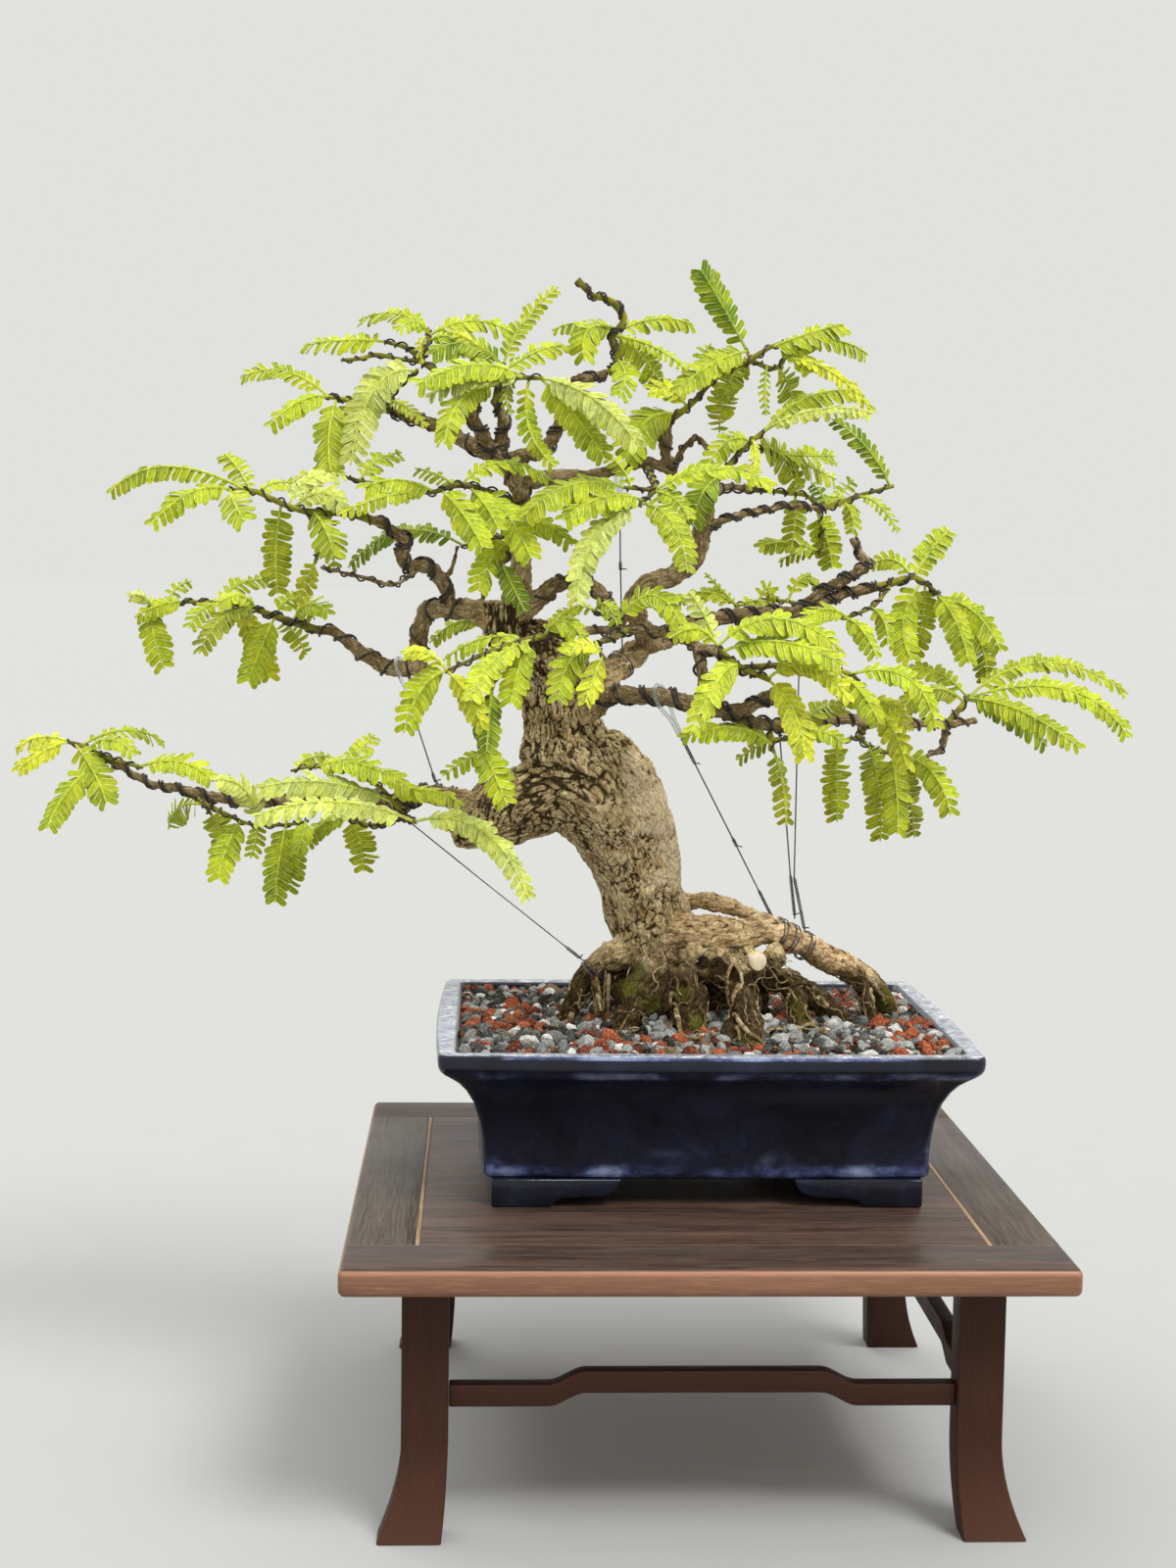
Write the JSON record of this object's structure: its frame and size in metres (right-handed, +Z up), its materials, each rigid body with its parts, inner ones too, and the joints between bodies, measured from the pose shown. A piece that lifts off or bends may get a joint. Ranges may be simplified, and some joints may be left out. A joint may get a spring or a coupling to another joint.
{
  "type": "tamarind bonsai",
  "caption": "Tamarind bonsai with a leaning burled trunk, spread roots and wired feathery branches, in a dark blue glazed rectangular pot on a low wooden stand with flared feet.",
  "frame": {"origin": "on the ground under the stand, at the centre of the whole object's box, which is not the stand's own centre because the branches reach further to the left", "axes": "+Z up, +X to the right along the pot's long side, +Y to the back; the tree is shown from -Y"},
  "size_m": [0.596, 0.32, 0.6058],
  "materials": {
    "rosewood": "dark red-brown, satin lacquer",
    "inlay_wood": "light tan strip, satin lacquer",
    "pot_glaze": "near-black blue gloss glaze, paler where it thins at edges",
    "gravel": "rough loose grains, grey, rust and brown",
    "screen_net": "black net",
    "bark": "fissured grey-brown bark",
    "leaf": "thin matte green leaf",
    "training_wire": "dark annealed wire",
    "guy_wire": "thin dull wire",
    "clear_sleeve": "clear tube"
  },
  "bodies": {
    "root": {"stand_board_front": "rosewood", "stand_board_back": "rosewood", "stand_board_left": "rosewood", "stand_inlay_left": "inlay_wood", "stand_board_right": "rosewood", "stand_inlay_right": "inlay_wood", "stand_panel": "rosewood", "stand_leg_front_left": "rosewood", "stand_leg_front_right": "rosewood", "stand_stretcher_front": "rosewood", "stand_leg_back_left": "rosewood", "stand_leg_back_right": "rosewood", "stand_stretcher_back": "rosewood", "stand_stretcher_left": "rosewood", "stand_stretcher_right": "rosewood", "pot": "pot_glaze", "drain_screen_left": "screen_net", "drain_screen_right": "screen_net", "tree_wood": "bark", "soil": "gravel", "spray_low_left_tip": "leaf", "spray_low_left_outer": "leaf", "spray_low_left_inner": "leaf", "spray_front_left": "leaf", "spray_middle_left": "leaf", "spray_upper_left_tip": "leaf", "spray_upper_left_inner": "leaf", "spray_crown_left": "leaf", "spray_crown_left_top": "leaf", "spray_crown_front": "leaf", "spray_top": "leaf", "spray_top_right": "leaf", "spray_crown_right": "leaf", "spray_right_upper": "leaf", "spray_right_upper_back": "leaf", "spray_right_inner": "leaf", "spray_column_left": "leaf", "spray_front_middle": "leaf", "spray_front_right": "leaf", "spray_front_right_outer": "leaf", "spray_right_lower": "leaf", "spray_right_hanging": "leaf", "spray_right_tip": "leaf", "spray_right_middle": "leaf", "wire_low_left": "training_wire", "wire_middle_left": "training_wire", "wire_upper_left": "training_wire", "wire_crown": "training_wire", "wire_crown_right": "training_wire", "wire_right": "training_wire", "wire_front_right": "training_wire", "guy_wire_low_left": "guy_wire", "guy_wire_middle_left": "guy_wire", "guy_wire_across": "guy_wire", "guy_wire_front": "guy_wire", "guy_wire_right_front": "guy_wire", "guy_wire_right": "guy_wire", "sleeve_middle_left": "clear_sleeve", "sleeve_across": "clear_sleeve", "sleeve_front": "clear_sleeve"}
  },
  "joints": []
}
